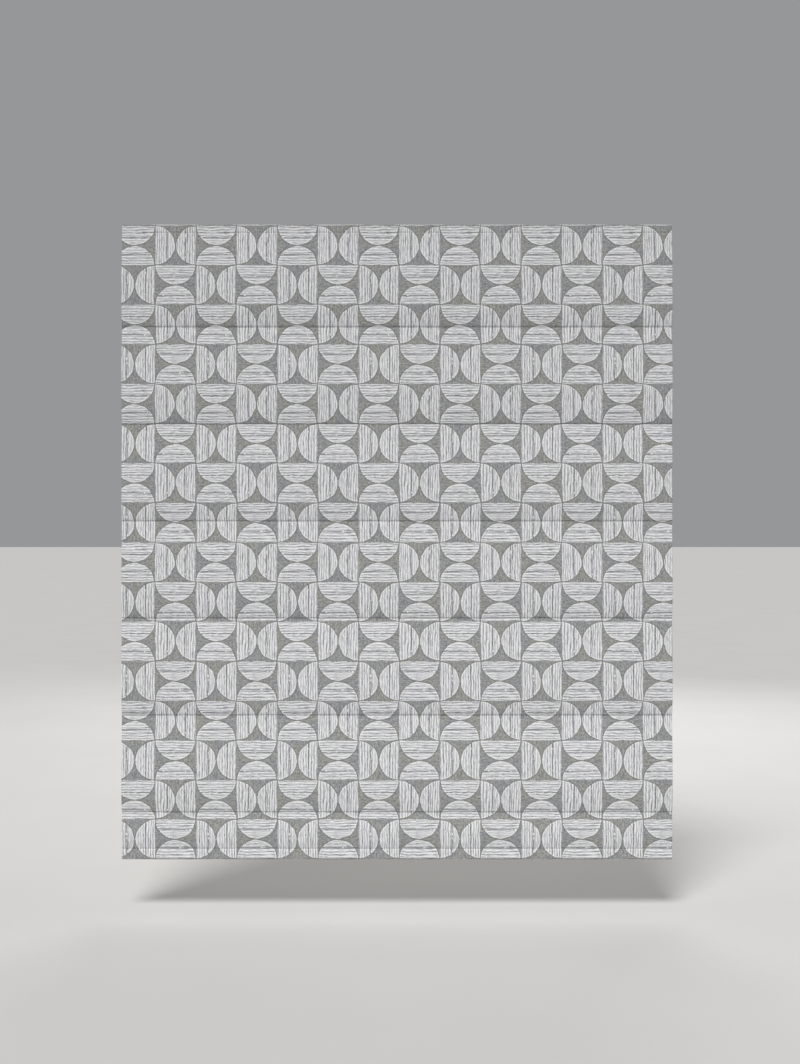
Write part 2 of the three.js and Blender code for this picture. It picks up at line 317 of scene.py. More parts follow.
def printed_cloth():
    """Half circles with brushed hatching, in cells turned a quarter from each to the next."""
    g = Nodes("printed_cloth", Roughness=0.9, Sheen_Weight=0.15, Sheen_Roughness=0.5)
    uv = g.flat_cloth()
    along, depth, seeds = half_circle(g, uv)

    def streak(k_along, k_depth, offset, detail=2.0):
        """Brush strokes along the flat side, different in each half circle of a repeat."""
        x = g.add(g.times(along, k_along), g.add(g.times(seeds[0], 17.0), offset))
        y = g.add(g.times(depth, k_depth), g.add(g.times(seeds[0], 9.0), offset))
        return g.noise(g.vector(x, y), 1.0, detail, "2D")

    dark, gleam = hatching(g, depth, seeds, streak)
    inside, rim, fringe = outline(g, along, depth, streak)
    ink = print_ink(g, uv, streak, dark, gleam, rim)
    cloth = g.mix(inside, print_ground(g, uv, streak, fringe), ink)
    weave = g.add(*threads(g, uv))
    g.colour(g.mix(g.times(g.step(weave, 0.75, 1.25), 0.10), cloth, "#f4f4f2"))
    g.bump(weave, 0.25 * MM, 0.6)
    return g.material


def plain_weave(name, low, high, along=160.0, across=1500.0, sheen=0.15):
    g = Nodes(name, Roughness=0.85, Sheen_Weight=sheen, Sheen_Roughness=0.4)
    uv = g.flat_cloth()
    warp, weft = threads(g, uv, along, across)
    weave = g.add(warp, weft)
    shade = g.add(g.times(g.step(weave, 0.7, 1.3), 0.7), g.times(g.noise(uv, 7.0, 3.0, "2D"), 0.3))
    g.colour(g.mix(shade, low, high))
    g.rough(g.add(0.72, g.times(weft, 0.25)))
    g.bump(weave, 0.2 * MM, 0.6)
    return g.material


def hook_loops():
    g = Nodes("hook_tape", Roughness=0.8)
    pile = g.noise(g.coordinates(), 1800.0)
    g.colour(g.mix(pile, "#cfcfcb", "#f6f6f3"))
    g.bump(pile, 0.5 * MM, 1.0)
    return g.material


def braided_cord():
    g = Nodes("braided_cord", Roughness=0.75, Sheen_Weight=0.2)
    uv = g.flat_cloth()
    around, along, _ = g.split(uv)
    turns = g.times(along, 620.0)
    one = g.math("SINE", g.times(g.add(g.times(around, 4.0), turns), math.tau))
    other = g.math("SINE", g.times(g.math("SUBTRACT", g.times(around, 4.0), turns), math.tau))
    strands = g.math("MAXIMUM", one, other)
    fuzz = g.noise(g.stretched(uv, 8.0, 900.0), dimensions="2D")
    # the colour is lighter on the strands' crests and darker in the gaps between them: painted highlight and
    # painted shade; the fuzz adds tone at random
    shade = g.add(g.times(g.step(strands, -0.2, 0.9), 0.8), g.times(fuzz, 0.2))
    g.colour(g.mix(shade, "#c9c4b6", "#f7f4ec"))
    g.bump(g.add(strands, fuzz), 0.15 * MM, 0.8)
    return g.material


def thread(name, low, high):
    g = Nodes(name, Roughness=0.7, Sheen_Weight=0.2)
    twist = g.noise(g.coordinates(), 2600.0, 1.0)
    g.colour(g.mix(twist, low, high))
    g.bump(twist, 0.1 * MM, 0.7)
    return g.material


def powder_coat():
    g = Nodes("rail_powder_coat", Coat_Weight=0.15, Coat_Roughness=0.35)
    place = g.coordinates()
    peel = g.noise(place, 700.0)
    cloud = g.noise(place, 14.0, 3.0)
    rubbed = g.step(g.noise(place, 260.0, 4.0), 0.66, 0.74)
    base = g.mix(cloud, "#e9e8e4", "#f4f3f0")
    g.colour(g.mix(g.times(rubbed, 0.22), base, "#cfcfcc"))
    g.rough(g.add(0.36, g.times(peel, 0.16)))
    g.bump(peel, 0.12 * MM, 0.5)
    return g.material


def moulded(name, low, high, roughness=0.42, scuff="#b9b8b4"):
    g = Nodes(name, IOR=1.48)
    place = g.coordinates()
    grain = g.noise(place, 1500.0)
    flow = g.noise(place, 60.0, 3.0)
    worn = g.step(g.noise(place, 330.0, 4.0), 0.64, 0.74)
    base = g.mix(flow, low, high)
    g.colour(g.mix(g.times(worn, 0.25), base, scuff))
    g.rough(g.add(roughness, g.times(grain, 0.2)))
    g.bump(grain, 0.08 * MM, 0.5)
    return g.material


def metal(name, low, high, roughness, stretch, scale):
    """Bare metal whose fine lines run along one way; stretch shortens the noise across it."""
    g = Nodes(name, Metallic=1.0)
    place = g.coordinates()
    lines = g.noise(g.stretched(place, *stretch), scale, 3.0)
    cloud = g.noise(place, 90.0, 3.0)
    shade = g.add(g.times(lines, 0.6), g.times(cloud, 0.4))
    g.colour(g.mix(shade, low, high))
    g.rough(g.add(roughness, g.times(g.add(lines, cloud), 0.12)))
    g.bump(lines, 0.05 * MM, 0.5)
    return g.material


def glass_fibre():
    g = Nodes("glass_fibre_rod", IOR=1.52, Coat_Weight=0.4, Coat_Roughness=0.15)
    strands = g.noise(g.stretched(g.coordinates(), 6.0, 1800.0, 1800.0))
    g.colour(g.mix(strands, "#cfd6c4", "#eef0e4"))
    g.rough(g.add(0.22, g.times(strands, 0.2)))
    g.bump(strands, 0.05 * MM, 0.6)
    return g.material


def stage_paint():
    g = Nodes("studio_floor", Roughness=0.9)
    mottle = g.noise(g.coordinates(), 3.0, 4.0)
    g.colour(g.mix(mottle, "#cfcdca", "#d6d4d1"))
    return g.material


MATERIALS = {
    "print": printed_cloth(),
    "reverse": plain_weave("printed_cloth_reverse", "#b9b9b6", "#cfcfcc"),
    "lining": plain_weave("sateen_lining", "#ddd6c6", "#f1ece0", 260.0, 2400.0, 0.35),
    "tape": plain_weave("woven_tape", "#d9d9d5", "#f2f2ef", 300.0, 1700.0),
    "hook": hook_loops(),
    "cord": braided_cord(),
    "grey_thread": thread("grey_thread", "#6e6f72", "#a2a2a5"),
    "ivory_thread": thread("ivory_thread", "#cfc8b8", "#f2ecdf"),
    "rail": powder_coat(),
    "white_plastic": moulded("white_acetal", "#e7e5df", "#f3f1ec"),
    "grey_plastic": moulded("grey_nylon", "#7c8085", "#92969b", 0.45, "#a9acb0"),
    "steel": metal("zinc_plated_steel", "#aeb2b6", "#cdd1d5", 0.32, (1.0, 1.0, 8.0), 240.0),
    "aluminium": metal("mill_aluminium", "#b9bbbd", "#d9dadb", 0.30, (0.05, 30.0, 30.0), 60.0),
    "spring": metal("spring_steel", "#6f7478", "#a0a5aa", 0.22, (20.0, 1.0, 1.0), 90.0),
    "glass_fibre": glass_fibre(),
    "floor": stage_paint(),
}


# ---------- meshes ----------
def new_piece(name, vertices, faces, materials, body=None):
    mesh = bpy.data.meshes.new(name)
    mesh.from_pydata([tuple(map(float, p)) for p in np.reshape(vertices, (-1, 3))], [], faces)
    for key in materials:
        mesh.materials.append(MATERIALS[key])
    mesh.shade_smooth()
    mesh.update()
    piece = bpy.data.objects.new(name, mesh)
    bpy.context.scene.collection.objects.link(piece)
    if body:
        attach(piece, body)
    return piece


def set_uv(piece, flat):
    """Stores where each vertex lies when its cloth is flat."""
    layer = piece.data.uv_layers.new(name=FLAT_UV)
    loops = np.empty(len(piece.data.loops), np.int32)
    piece.data.loops.foreach_get("vertex_index", loops)
    layer.data.foreach_set("uv", np.reshape(flat, (-1, 2)).astype(np.float32)[loops].ravel())


def grid_faces(rows, columns, start, flip):
    faces = []
    for r in range(rows - 1):
        for c in range(columns - 1):
            a = start + r * columns + c
            quad = (a, a + columns, a + columns + 1, a + 1)
            faces.append(quad[::-1] if flip else quad)
    return faces


def tube_faces(count, sides, closed):
    """Faces between neighbouring rings: round and round if closed, or else with a face over each end."""
    faces = []
    for r in range(count if closed else count - 1):
        for c in range(sides):
            d, n = (c + 1) % sides, (r + 1) % count
            faces.append((r * sides + c, r * sides + d, n * sides + d, n * sides + c))
    if not closed:
        faces.append(tuple(range(sides))[::-1])
        faces.append(tuple(range((count - 1) * sides, count * sides)))
    return faces


def rim_loop(rows, columns):
    """The outer vertices of a grid, in order."""
    top = list(range(columns))
    right = [r * columns + columns - 1 for r in range(1, rows)]
    bottom = [(rows - 1) * columns + c for c in range(columns - 2, -1, -1)]
    left = [r * columns for r in range(rows - 2, 0, -1)]
    return top + right + bottom + left


def unit(vectors):
    return vectors / np.linalg.norm(vectors, axis=-1, keepdims=True)


def grid_normals(points):
    down = np.gradient(points, axis=0)
    over = np.gradient(points, axis=1)
    return unit(np.cross(over, down))


def flat_grid(u, v):
    """The flat place of each point of a sheet, from its columns' and its rows' places."""
    return np.stack(np.meshgrid(u, v), -1)


def split_edges(piece, degrees):
    """Shades faces that meet at more than this angle apart."""
    edges = piece.modifiers.new("edges", "EDGE_SPLIT")
    edges.split_angle = math.radians(degrees)


def sheet_piece(name, points, flat, thickness, materials, outward=1):
    """A closed thin cloth from a grid of its outer surface, with the second material on its reverse."""
    rows, columns = points.shape[:2]
    inner = points + outward * grid_normals(points) * thickness
    count = rows * columns
    faces = grid_faces(rows, columns, 0, outward < 0)
    faces += grid_faces(rows, columns, count, outward > 0)
    edge = rim_loop(rows, columns)
    rim = []
    for a, b in zip(edge, edge[1:] + edge[:1]):
        quad = (a, b, b + count, a + count)
        rim.append(quad[::-1] if outward < 0 else quad)
    piece = new_piece(name, [points, inner], faces + rim, materials)
    reverse = np.arange(len(faces) + len(rim)) >= len(faces) // 2
    piece.data.polygons.foreach_set("material_index", reverse.astype(np.int32))
    crease_rim(piece, len(faces))
    set_uv(piece, [flat, flat])
    return piece


def face_sheet(name, points, flat):
    return sheet_piece(name, points, flat, CLOTH_THICKNESS, ("print", "reverse"))


def lining_sheet(name, points, flat):
    return sheet_piece(name, points, flat, LINING_THICKNESS, ("lining", "lining"), -1)


def crease_rim(piece, first_rim_face):
    """Marks the edges between a sheet's faces and its rim as sharp, so that each is shaded on its own."""
    work = bmesh.new()
    work.from_mesh(piece.data)
    work.faces.ensure_lookup_table()
    for face in work.faces[first_rim_face:]:
        for edge in face.edges:
            if any(other.index < first_rim_face for other in edge.link_faces):
                edge.smooth = False
    work.to_mesh(piece.data)
    work.free()


# ---------- the hang of the cloth ----------
def wave(x, seed, shortest, longest):
    """A smooth irregular curve between about -1 and 1, as a sum of five sines."""
    random = np.random.default_rng(seed)
    lengths = np.geomspace(shortest, longest, 5)
    total = sum(np.sin(math.tau * x / length + random.uniform(0, math.tau)) for length in lengths)
    return total / math.sqrt(2 * len(lengths))


def swell(below, above):
    """How far the cloth stands out, this far below one seam and this far above the next."""
    rise = np.sin(np.pi / 2 * np.clip(below / BELLY_REACH, 0, 1)) ** BELLY_POWER
    tuck = 1 - (1 - np.clip(above / TUCK_REACH, 0, 1)) ** TUCK_POWER
    lip = (1 - np.exp(-above / LIP_HEIGHT)) * (1 - np.exp(-below / EMERGE_REACH))
    return BELLY_DEPTH * rise * tuck + LIP_DEPTH * lip


def groove(distance):
    return GROOVE_DEPTH * np.exp(-(distance / GROOVE_WIDTH) ** 2)


def pucker(x, distance, seed):
    ripple = wave(x, seed, 0.016, 0.06)
    return PUCKER_DEPTH * ripple * np.exp(-distance / PUCKER_REACH) * (1 - np.exp(-distance / (3 * MM)))


def band_surface(x, z, band):
    """How far the face cloth stands out into the room at each point of a band."""
    top = HEADER_STITCH if band == 1 else SEAMS[band - 1]
    bottom = SEAMS[band]
    below, above = np.maximum(top - z, 0), np.maximum(z - bottom, 0)
    fullness = 1 + 0.13 * wave(x, band, 0.13, 0.9) + 0.04 * wave(x, band + 20, 0.05, 0.12)
    out = swell(below, above) * fullness
    out -= groove(below) + groove(above)
    out += pucker(x, below, band + 40) + pucker(x, above, band + 41)
    return out


def spaced(start, end, fine_start, fine_end):
    """Points from start to end, close together at the ends that ask for it."""
    length = abs(end - start)

    def run(limit):
        at, size, made = 0.0, FINE_ROW, [0.0]
        while at + size < limit:
            at += size
            made.append(at)
            size = min(size * ROW_GROWTH, COARSE_ROW)
        return made

    if fine_start and fine_end:
        half = run(length / 2)
        places = half + [length / 2] + [length - p for p in reversed(half)]
    elif fine_start:
        places = run(length) + [length]
    elif fine_end:
        places = [0.0] + [length - p for p in reversed(run(length))]
    else:
        places = list(np.linspace(0, length, max(2, round(length / COARSE_ROW))))
    return start + math.copysign(1, end - start) * np.array(places)


def sheet_columns(half_width, radius, turn):
    """Across the sheet: where each column lies, how far it is turned behind, and its flat place."""
    edge = half_width - radius
    middle = np.linspace(-edge, edge, round(2 * edge / COLUMN_STEP) + 1)
    angles = np.linspace(0, np.pi, 7)[1:]
    back = np.array([0.25, 0.5, 1.0]) * turn
    side_x = np.concatenate([edge + radius * np.sin(angles), edge - back])
    side_in = np.concatenate([radius * (1 - np.cos(angles)), np.full(len(back), 2 * radius)])
    side_u = np.concatenate([edge + radius * angles, edge + np.pi * radius + back])
    x = np.concatenate([-side_x[::-1], middle, side_x])
    inward = np.concatenate([side_in[::-1], np.zeros(len(middle)), side_in])
    u = np.concatenate([-side_u[::-1], middle, side_u])
    return x, inward, u


def cloth_grid(z_rows, columns, band, depth, inward_sign):
    """Points of a sheet that follows the band's swell, depth behind the face, and its flat places."""
    x, inward, u = columns
    across, z = np.meshgrid(x, z_rows)
    out = band_surface(across, z, band)
    probe = 0.2 * MM
    slope = (band_surface(across, z + probe, band) - band_surface(across, z - probe, band)) / (2 * probe)
    seams_at = (HEADER_STITCH if band == 1 else SEAMS[band - 1], SEAMS[band])
    nearest = np.minimum(abs(z - seams_at[0]), abs(z - seams_at[1]))
    slope = slope * (1 - np.exp(-(nearest / SEAM_STIFFNESS) ** 2))
    behind = unit(np.stack([np.zeros_like(z), np.ones_like(z), slope], -1))
    points = np.stack([across, CLOTH_FRONT - out, z], -1)
    points = points + behind * (depth + inward_sign * inward[None, :])[..., None]
    return points, flat_grid(u, z_rows)


FACE_COLUMNS = sheet_columns(CLOTH_WIDTH / 2, HEM_RADIUS, HEM_TURN)
LINING_COLUMNS = sheet_columns(LINING_WIDTH / 2, LINING_RADIUS, LINING_TURN)
FACE_FLAT_WIDTH = CLOTH_WIDTH + 2 * HEM_TURN
LINING_FLAT_WIDTH = LINING_WIDTH + 2 * LINING_TURN


def cloth_layer(name, z_rows, band, layer):
    """One stretch of the face cloth or of the lining, and its flat width."""
    if layer == "face":
        return face_sheet(name, *cloth_grid(z_rows, FACE_COLUMNS, band, 0.0, 1)), FACE_FLAT_WIDTH
    grid = cloth_grid(z_rows, LINING_COLUMNS, band, LINING_DEPTH, -1)
    return lining_sheet(name, *grid), LINING_FLAT_WIDTH


def band_pieces(band):
    """Three stretches of each layer: over the seam or header above, over the crease, to the seam below."""
    top = FOLD_START if band == 1 else SEAMS[band - 1]
    crease, bottom = CREASES[band], SEAMS[band]
    above, upper, lower = f"rod_line_{band - 1}", f"upper_leaf_{band}", f"lower_leaf_{band}"
    if band == 1:
        above = "root"
    split_high, split_low = (top + crease) / 2, (crease + bottom) / 2
    reach = Vector((0, 0, FOLD_REACH))
    for layer in ("face", "lining"):
        stretches = (
            ("top", spaced(top, split_high, band > 1, False), above, upper, Vector((0, 0, top)), -reach),
            ("crease", spaced(split_high, split_low, False, False), upper, lower,
             Vector((0, 0, crease)) + reach, -2 * reach),
            ("bottom", spaced(split_low, bottom, False, True), lower, f"rod_line_{band}",
             Vector((0, 0, bottom)) + reach, -reach),
        )
        for part, rows, body_a, body_b, start, travel in stretches:
            name = f"{layer}_{part}_{band}"
            piece, width = cloth_layer(name, rows, band, layer)
            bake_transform(piece)
            if part == "top":
                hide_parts(f"{layer}_upper_{band}")
            if part == "bottom":
                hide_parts(f"{layer}_lower_{band}")


for band in BANDS:
    band_pieces(band)


# ---------- header and flap ----------
def offset_path(path, columns, normals, inward_sign=1):
    """Sweeps a (y, z) path across the columns; normals point to the inside of the fold."""
    x, inward, _ = columns
    points = np.zeros((len(path), len(x), 3))
    points[..., 0] = x
    points[..., 1:] = path[:, None, :] + inward_sign * inward[None, :, None] * normals[:, None, :]
    return points


def path_normals(path):
    """Unit normals on the left of a path that runs down the front, so that they point behind it."""
    run = np.gradient(path, axis=0)
    return unit(np.stack([-run[:, 1], run[:, 0]], -1))


def profile(y, z):
    return np.stack(np.broadcast_arrays(y, z), -1)


def path_length(path):
    steps = np.linalg.norm(np.diff(path, axis=0), axis=1)
    return np.concatenate([[0.0], np.cumsum(steps)])


HEADER_DEPTH = 2.3 * MM  # face cloth turned over the top and down the back
HEADER_TURN = 16 * MM


def arc(centre_y, centre_z, radius, from_angle, to_angle, count):
    """Points of an arc in the YZ plane; angle 0 points into the room and 90 degrees up."""
    angles = np.radians(np.linspace(from_angle, to_angle, count))
    return profile(centre_y - radius * np.cos(angles), centre_z + radius * np.sin(angles))


def header():
    """The face cloth above the first fold: down the front, with its top edge turned over to the back."""
    radius = HEADER_DEPTH / 2
    middle = CLOTH_FRONT + radius
    behind = np.linspace(CLOTH_TOP - HEADER_TURN, CLOTH_TOP - radius, 8)[:-1]
    back_leg = profile(CLOTH_FRONT + HEADER_DEPTH, behind)
    over = arc(middle, CLOTH_TOP - radius, radius, 180, 0, 11)
    upper = spaced(CLOTH_TOP - radius, HEADER_STITCH, False, True)[1:]
    front = profile(CLOTH_FRONT + groove(upper - HEADER_STITCH), upper)
    turned = np.concatenate([back_leg, over, front])
    head_points = offset_path(turned, FACE_COLUMNS, path_normals(turned))
    over_top = len(back_leg) + len(over) // 2
    flat_z = CLOTH_TOP + path_length(turned)[over_top] - path_length(turned)
    lower = spaced(HEADER_STITCH, FOLD_START, True, False)
    low_points, low_flat = cloth_grid(lower, FACE_COLUMNS, 1, 0.0, 1)
    head_flat = flat_grid(FACE_COLUMNS[2], flat_z)
    points = np.concatenate([head_points, low_points[1:]])
    flat = np.concatenate([head_flat, low_flat[1:]])
    piece = face_sheet("face_header", points, flat)
    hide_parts("header_cloth")
    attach(piece, "root")

    rows = spaced(CLOTH_TOP - HEADER_TURN - 2 * MM, FOLD_START, False, False)
    points, flat = cloth_grid(rows, LINING_COLUMNS, 1, LINING_DEPTH, -1)
    lining = lining_sheet("lining_header", points, flat)
    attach(lining, "root")


header()

BAR_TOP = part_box("bottom_bar")[1].z
HEM_STITCH = BAR_TOP + 2.5 * MM
HEM_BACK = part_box("face_flap")[1].y
HEM_SWELL = 0.8 * MM  # how far the hem stands out in front, over the bar
HEM_CLOSE = BAR_TOP + 0.6 * MM  # where the hem's back leg starts to lean towards the front
FLAP_BELLY = 3.2 * MM
FLAP_RIPPLE = 0.5 * MM * wave(FACE_COLUMNS[0], 71, 0.11, 0.7)
LINING_RIPPLE = 0.5 * MM * wave(LINING_COLUMNS[0], 71, 0.11, 0.7)


def fall_share(z):
    """How far down from the last seam to the hem's stitches a height is."""
    return (SEAMS[6] - z) / (SEAMS[6] - HEM_STITCH)


def flap():
    """Below the last seam: a short fall of cloth, then the hem turned up at the back round the bottom bar."""
    last = SEAMS[6]
    fall = spaced(last, HEM_STITCH, True, True)
    out = FLAP_BELLY * np.sin(np.pi * fall_share(fall) ** 1.25) ** 0.9
    out = out - groove(last - fall) - groove(fall - HEM_STITCH)
    front_fall = profile(CLOTH_FRONT - out, fall)
    radius = (HEM_BACK - CLOTH_FRONT + HEM_SWELL) / 2
    middle_y = HEM_BACK - radius
    low_z = CLOTH_BOTTOM + radius
    hem_rows = spaced(HEM_STITCH, low_z, True, False)[1:]
    share = (HEM_STITCH - hem_rows) / (HEM_STITCH - low_z)
    hem_y = CLOTH_FRONT - HEM_SWELL * np.sin(np.pi / 2 * share) + groove(HEM_STITCH - hem_rows)
    hem = profile(hem_y, hem_rows)
    under = arc(middle_y, low_z, radius, 0, -180, 15)[1:]
    rise = np.linspace(low_z, HEM_CLOSE, 6)[1:]
    back = profile(HEM_BACK, rise)
    meet_y = CLOTH_FRONT + LINING_DEPTH + CLOTH_THICKNESS + 0.7 * MM
    ease = np.linspace(0, 1, 7)[1:]
    close_y = HEM_BACK + (meet_y - HEM_BACK) * (3 * ease ** 2 - 2 * ease ** 3)
    close_z = HEM_CLOSE + ease * (HEM_STITCH + 1.2 * MM - HEM_CLOSE)
    closing = profile(close_y, close_z)
    path = np.concatenate([front_fall, hem, under, back, closing])
    points = offset_path(path, FACE_COLUMNS, path_normals(path))
    in_front = np.arange(len(path)) < len(front_fall) + len(hem)
    fade = np.where(in_front, np.sin(np.pi * np.clip(fall_share(path[:, 1]), 0, 1)), 0)
    points[..., 1] -= FLAP_RIPPLE * fade[:, None]
    lengths = path_length(path)
    flat = flat_grid(FACE_COLUMNS[2], last - lengths)
    piece = face_sheet("face_flap_hem", points, flat)
    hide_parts("face_flap")
    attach(piece, "rod_line_6")

    rows = fall[fall >= HEM_STITCH]
    out = np.interp(-rows, -fall, out)
    run = profile(CLOTH_FRONT - out, rows)
    normals = path_normals(run)
    run = run + normals * LINING_DEPTH
    points = offset_path(run, LINING_COLUMNS, normals, -1)
    flat = flat_grid(LINING_COLUMNS[2], rows)
    fade = np.sin(np.pi * np.clip(fall_share(rows), 0, 1))
    points[..., 1] -= LINING_RIPPLE * fade[:, None]
    lining = lining_sheet("lining_flap_sheet", points, flat)
    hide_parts("lining_flap")
    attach(lining, "rod_line_6")


flap()


# ---------- swept shapes ----------
def face_out(piece):
    work = bmesh.new()
    work.from_mesh(piece.data)
    bmesh.ops.recalc_face_normals(work, faces=work.faces)
    work.to_mesh(piece.data)
    work.free()


def skin(name, rings, key, body, flat=None, closed=False):
    """Skins a row of rings of equal count."""
    rings = np.asarray(rings, float)
    piece = new_piece(name, rings, tube_faces(*rings.shape[:2], closed), (key,), body)
    face_out(piece)
    if flat is not None:
        set_uv(piece, flat)
    return piece


def along_x(section, x):
    """Rings of one (y, z) section along X, and the flat place of each of their points."""
    rings = np.zeros((len(x), len(section), 3))
    rings[..., 0] = x[:, None]
    rings[..., 1:] = section
    return rings, np.stack(np.meshgrid(path_length(section), x)[::-1], -1)


def tube_rings(path, radius, sides):
    """Rings round a path, kept from twisting; radius may change along it."""
    path = np.asarray(path, float)
    tangents = unit(np.gradient(path, axis=0))
    radii = np.broadcast_to(radius, (len(path),))
    side = np.cross(tangents[0], (0.13, 0.27, 0.95))
    if np.linalg.norm(side) < 0.2:
        side = np.cross(tangents[0], (1.0, 0.0, 0.0))
    angles = np.linspace(0, math.tau, sides, endpoint=False)
    rings = []
    for point, tangent, r in zip(path, tangents, radii):
        side = side - tangent * np.dot(side, tangent)
        side = side / np.linalg.norm(side)
        other = np.cross(tangent, side)
        rings.append(point + r * (np.cos(angles)[:, None] * side + np.sin(angles)[:, None] * other))
    return np.array(rings)


def tube(name, path, radius, key, body, sides=10):
    """A length of cord; its flat place is a share of the way round and a length along."""
    flat = flat_grid(np.linspace(0, 1, sides, endpoint=False), path_length(path))
    return skin(name, tube_rings(path, radius, sides), key, body, flat)


def ring_of(name, path, radius, sides, key, body):
    """A round section along a path whose last point is its first again."""
    return skin(name, tube_rings(path, radius, sides)[:-1], key, body, closed=True)


def joined(name, pieces):
    """Joins pieces that already share a body into the first, under a new name."""
    bpy.ops.object.select_all(action="DESELECT")
    for piece in pieces:
        piece.select_set(True)
    bpy.context.view_layer.objects.active = pieces[0]
    bpy.ops.object.join()
    pieces[0].name = name
    return pieces[0]


# ---------- sewing ----------
STITCH_PITCH = 3.4 * MM
STITCH_LENGTH = 2.7 * MM
STITCH_RADIUS = 0.24 * MM
STITCH_DIP = 0.18 * MM  # how far its ends sink into the cloth
STITCH_WANDER = 0.06 * MM
STITCH_MARGIN = 3 * MM  # from the last stitch to the cloth's edge


def stitch_rings():
    along = np.linspace(-0.5, 0.5, 6)
    bulge = np.sqrt(np.clip(1 - (2 * along) ** 2, 0, 1))
    path = np.stack([along * STITCH_LENGTH, STITCH_DIP * (1 - bulge), 0 * along], -1)
    return tube_rings(path, STITCH_RADIUS * np.clip(bulge, 0.25, 1), 5)


def stitch_row(name, edge, y, z, body, key, facing=1):
    """A row of machine stitches as one mesh; facing 1 shows to the room and -1 to the window."""
    rings = stitch_rings() * (1, facing, 1)
    faces = tube_faces(*rings.shape[:2], False)
    half_width = edge - STITCH_MARGIN
    count = round(2 * half_width / STITCH_PITCH)
    x = np.linspace(-half_width, half_width, count)
    drop = np.random.default_rng(len(name)).normal(0, STITCH_WANDER, count)
    places = np.stack([x, np.full(count, y), z + drop], -1)
    vertices = rings.reshape(-1, 3) + places[:, None]
    copies = [tuple(i + n * vertices.shape[1] for i in face) for n in range(count) for face in faces]
    face_out(new_piece(name, vertices, copies, (key,), body))


SEAM_Y = CLOTH_FRONT + GROOVE_DEPTH - 0.12 * MM
stitch_row("stitches_header", CLOTH_WIDTH / 2, SEAM_Y, HEADER_STITCH, "root", "grey_thread")
for band, seam in SEAMS.items():
    stitch_row(f"stitches_seam_{band}", CLOTH_WIDTH / 2, SEAM_Y, seam, f"rod_line_{band}", "grey_thread")
stitch_row("stitches_hem", CLOTH_WIDTH / 2, SEAM_Y, HEM_STITCH, "rod_line_6", "grey_thread")


# ---------- rod pockets, rings and lift cords ----------
POCKET_FRONT = CLOTH_FRONT + LINING_DEPTH + 0.15 * MM
TAPE_THICKNESS = 0.42 * MM
FLANGE_SHARE = 0.17  # the flat part at each edge of the tape, as a share of its height
TAPE_SAG = 0.3 * MM
ROD_RADIUS = extent("rod_1")[2] / 2


def rod_place(band):
    """The rod's height, and how far back its pocket reaches over it."""
    _, y, z = middle_of(f"rod_{band}")
    return z, y + ROD_RADIUS + 0.25 * MM


def sewn_tape(name, section, x, give, body):
    """A closed (y, z) section along X; give says how much each of its points follows the sag."""
    rings, flat = along_x(section, x)
    sag = TAPE_SAG * wave(x, len(name) + int(name[-1]), 0.05, 0.3)
    rings[..., 1] += sag[:, None] * give
    rings[..., 2] += 0.6 * sag[:, None] * give
    piece = skin(name, rings, "lining", body, flat)
    split_edges(piece, 50)
    return piece


def pocket_tape(band):
    """Two tapes of lining cloth sewn down along both edges, with the rod in the tube between them."""
    low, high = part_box(f"rod_pocket_{band}")
    body = f"rod_line_{band}"
    height = high.z - low.z
    seat = POCKET_FRONT + TAPE_THICKNESS + 0.03 * MM
    _, back = rod_place(band)
    down = np.linspace(0, 1, 29)
    bulge = np.sin(np.pi * np.clip((down - FLANGE_SHARE) / (1 - 2 * FLANGE_SHARE), 0, 1)) ** 1.1
    inner = profile(seat + (back - seat) * bulge, high.z - down * height)
    outer = inner + path_normals(inner) * TAPE_THICKNESS
    x = np.linspace(low.x, high.x, 110)
    section = np.concatenate([inner, outer[::-1]])
    give = np.concatenate([bulge, bulge[::-1]])
    tube_tape = sewn_tape(f"pocket_tape_{band}", section, x, give, body)
    heights = np.linspace(high.z, low.z, 9)
    strip_front = profile(POCKET_FRONT, heights)
    strip_section = np.concatenate([strip_front, strip_front[::-1] + (TAPE_THICKNESS, 0)])
    backing = sewn_tape(f"backing_{band}", strip_section, x, 0.0, body)
    piece = joined(f"pocket_tape_{band}", [tube_tape, backing])
    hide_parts(f"rod_pocket_{band}")
    y = seat + TAPE_THICKNESS + 0.12 * MM
    for part, z in (("top", high.z - 1.2 * MM), ("foot", low.z + 1.2 * MM)):
        stitch_row(f"stitches_pocket_{part}_{band}", high.x, y, z, body, "ivory_thread", -1)


RING_RADIUS = 2.7 * MM
RING_WIRE = 0.7 * MM
RING_STRETCH = 1.9  # the ring's section is taller than it is wide
TIE_TURNS = 5
TIE_PITCH = 0.42 * MM
TIE_DEPTH = 1.3 * MM
TIE_HEIGHT = 1.9 * MM
TIE_THREAD = 0.22 * MM


